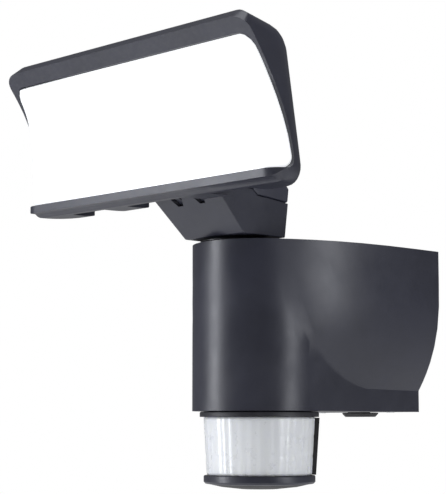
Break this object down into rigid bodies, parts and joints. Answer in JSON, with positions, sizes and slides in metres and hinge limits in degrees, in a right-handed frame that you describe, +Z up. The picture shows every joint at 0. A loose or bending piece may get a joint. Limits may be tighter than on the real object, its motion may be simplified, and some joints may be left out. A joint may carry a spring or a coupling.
{
  "type": "motion sensor floodlight",
  "caption": "Wall floodlight: flared wall base, turning neck, wide tilting LED head with opal diffuser, and a drum motion sensor turning under the base.",
  "frame": {"origin": "on the back face of the wall plate, on the plane of symmetry, half way up the base housing", "axes": "+Z up, +Y into the wall, the lamp faces -Y, +X to the right when facing the wall"},
  "size_m": [0.2258, 0.229, 0.265],
  "materials": {
    "anthracite_plastic": "fine matt texture, anthracite",
    "black_plastic": "black, satin",
    "cover_plastic": "dark grey, matt",
    "diffuser_plastic": "opal white, satin",
    "lens_plastic": "milky translucent, fine vertical facets",
    "rubber": "black, matt",
    "steel": "zinc plated",
    "aluminium": "dark coated",
    "board_green": "circuit board",
    "board_white": "white circuit board",
    "led_yellow": "phosphor",
    "reflector_white": "white",
    "terminal_white": "off-white",
    "coil_tape": "yellow tape",
    "capacitor_sleeve": "dark blue sleeve",
    "nylon": "natural nylon"
  },
  "bodies": {
    "base": {"base_housing": "anthracite_plastic", "bottom_cover": "anthracite_plastic", "cable_entry_seal": "rubber", "cover_screw_left": "steel", "cover_screw_right": "steel", "driver_board": "board_green", "driver_capacitor": "capacitor_sleeve", "driver_transformer": "coil_tape", "terminal_block": "terminal_white", "wall_plate": "steel", "swivel_collar": "black_plastic"},
    "neck": {"neck_body": "anthracite_plastic", "neck_rear_cover": "anthracite_plastic", "neck_cover_screw": "steel", "tilt_pin": "steel", "swivel_tube": "steel", "swivel_nut": "steel", "friction_washer": "nylon", "lamp_lead": "rubber"},
    "head": {"head_housing": "anthracite_plastic", "diffuser": "diffuser_plastic", "heat_sink": "aluminium", "led_board": "board_white", "reflector": "reflector_white", "led_1": "led_yellow", "led_2": "led_yellow", "led_3": "led_yellow", "led_4": "led_yellow", "led_5": "led_yellow", "led_6": "led_yellow", "sink_screw_1": "steel", "sink_screw_2": "steel", "sink_screw_3": "steel", "sink_screw_4": "steel"},
    "sensor": {"sensor_collar": "anthracite_plastic", "sensor_lens": "lens_plastic", "sensor_spine": "black_plastic", "sensor_cap": "anthracite_plastic", "settings_cover": "cover_plastic", "sensor_clip_ring": "nylon", "sensor_seal": "rubber", "sensor_board": "board_green", "motion_detector": "steel", "dial_board": "board_green"},
    "time_dial": {"time_dial": "terminal_white"},
    "light_dial": {"light_dial": "terminal_white"}
  },
  "joints": [
    {"name": "head_pan", "type": "hinge", "parent": "base", "child": "neck", "pos_m": [0, -0.128, 0.052], "axis": [0, 0, 1], "range_deg": [-45, 45]},
    {"name": "head_tilt", "type": "hinge", "parent": "neck", "child": "head", "pos_m": [0, -0.161, 0.0765], "axis": [1, 0, 0], "range_deg": [-45, 30]},
    {"name": "sensor_pan", "type": "hinge", "parent": "base", "child": "sensor", "pos_m": [0, -0.107, -0.055], "axis": [0, 0, 1], "range_deg": [-60, 60]},
    {"name": "time_turn", "type": "hinge", "parent": "sensor", "child": "time_dial", "pos_m": [-0.012, -0.113, -0.0918], "axis": [0, 0, -1], "range_deg": [-135, 135]},
    {"name": "light_turn", "type": "hinge", "parent": "sensor", "child": "light_dial", "pos_m": [0.012, -0.113, -0.0918], "axis": [0, 0, -1], "range_deg": [-135, 135]}
  ]
}
